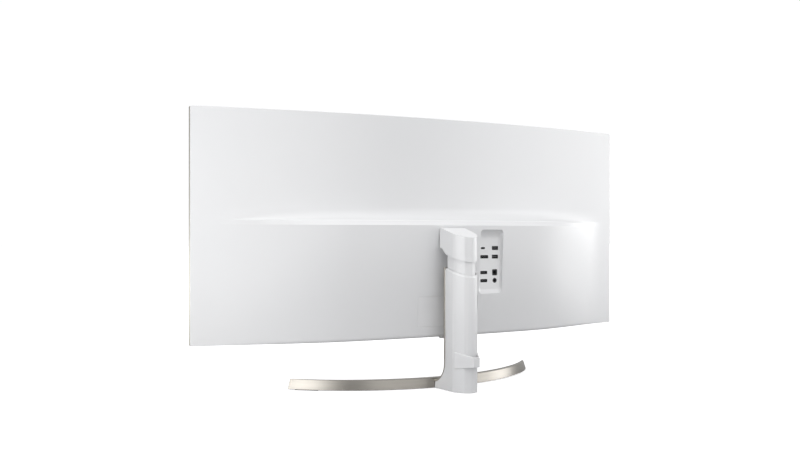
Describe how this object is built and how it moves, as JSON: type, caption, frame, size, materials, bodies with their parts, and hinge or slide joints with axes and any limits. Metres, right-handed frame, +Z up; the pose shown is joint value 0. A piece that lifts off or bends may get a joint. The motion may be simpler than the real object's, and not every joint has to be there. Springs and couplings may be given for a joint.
{
  "type": "curved desktop monitor",
  "caption": "Wide curved desktop display with a thin upper back and a raised lower housing, on a height-adjustable, tilting column with an arc-shaped metal foot.",
  "frame": {"origin": "on the desk under the column: the middle of the rear foot pad's bottom face", "axes": "+Z up, the screen faces -Y, the ports face +Y, +X is the viewer's right"},
  "size_m": [0.897, 0.2133, 0.4848],
  "materials": {
    "white_gloss": "glossy moulded white plastic",
    "white_satin": "fine-textured white plastic",
    "champagne_metal": "satin brushed champagne-tinted aluminium casting",
    "steel": "zinc-plated pressed or turned steel",
    "spring_steel": "blued spring steel strip",
    "black_plastic": "black engineering plastic",
    "screen_glass": "dark anti-glare display surface",
    "clear_sheet": "translucent acrylic or film",
    "circuit": "green coated circuit board with its parts",
    "port_metal": "nickel-plated connector shell",
    "port_blue": "connector shell with a blue tongue",
    "rubber": "soft grey-black rubber"
  },
  "bodies": {
    "stand": {"base_arc": "champagne_metal", "column_cover": "white_gloss", "column_rail": "steel", "rail_screw_lower": "steel", "rail_screw_upper": "steel", "foot_plate": "steel", "foot_screw": "steel", "foot_pad_rear": "rubber", "foot_pad_left": "rubber", "foot_pad_right": "rubber", "cable_clip": "white_gloss", "drum_bracket": "steel", "drum_axle": "steel"},
    "drum": {"spring_drum": "black_plastic", "spring_coil": "spring_steel"},
    "carriage": {"carriage_channel": "steel", "guide_pad_lower": "black_plastic", "guide_pad_upper": "black_plastic", "slider_cover": "white_gloss", "head_cover": "white_gloss", "hinge_bracket": "steel", "hinge_shaft": "steel", "friction_washer_left": "spring_steel", "friction_washer_right": "spring_steel", "hinge_nut": "steel", "spring_strip": "spring_steel"},
    "display": {"rear_cover": "white_gloss", "label_plate": "white_satin", "edge_trim": "champagne_metal", "panel_frame": "black_plastic", "lower_bezel": "black_plastic", "lcd_panel": "screen_glass", "diffuser_sheet": "clear_sheet", "light_guide": "clear_sheet", "led_strip": "white_satin", "chassis": "steel", "mount_bracket": "steel", "mount_screw_lower_left": "steel", "mount_screw_lower_right": "steel", "mount_screw_upper_left": "steel", "mount_screw_upper_right": "steel", "main_board": "circuit", "led_driver_board": "circuit", "tcon_board": "circuit", "panel_cable": "white_satin", "oval_data_port": "port_metal", "display_input": "port_metal", "video_input_upper": "port_metal", "video_input_lower": "port_metal", "data_port_upper": "port_blue", "data_port_lower": "port_blue", "power_jack": "black_plastic", "audio_jack": "black_plastic", "speaker_left": "black_plastic", "speaker_right": "black_plastic", "joystick_housing": "black_plastic"},
    "joystick_rocker_body": {"joystick_rocker": "steel"},
    "joystick_stem_body": {"joystick_stem": "black_plastic"},
    "joystick_cap_body": {"joystick_cap": "white_satin"}
  },
  "joints": [
    {"name": "height_slide", "type": "slide", "parent": "stand", "child": "carriage", "axis": [0, 0, 1], "range_m": [-0.015, 0.095], "deforming": ["spring_strip"]},
    {"name": "drum_spin", "type": "hinge", "parent": "stand", "child": "drum", "pos_m": [0, 0.009, 0.185], "axis": [1, 0, 0], "range_deg": [-546, 88]},
    {"name": "tilt_hinge", "type": "hinge", "parent": "carriage", "child": "display", "pos_m": [0, -0.0285, 0.2745], "axis": [-1, 0, 0], "range_deg": [-5, 20]},
    {"name": "joystick_sideways", "type": "hinge", "parent": "display", "child": "joystick_rocker_body", "pos_m": [0, -0.07, 0.103], "axis": [0, 1, 0], "range_deg": [-8, 8]},
    {"name": "joystick_fore_aft", "type": "hinge", "parent": "joystick_rocker_body", "child": "joystick_stem_body", "pos_m": [0, -0.07, 0.103], "axis": [1, 0, 0], "range_deg": [-8, 8]},
    {"name": "joystick_press", "type": "slide", "parent": "joystick_stem_body", "child": "joystick_cap_body", "axis": [0, 0, 1], "range_m": [0, 0.0006]}
  ],
  "couplings": [
    {"joint": "drum_spin", "follows": "height_slide", "rad_per_m": -100}
  ]
}
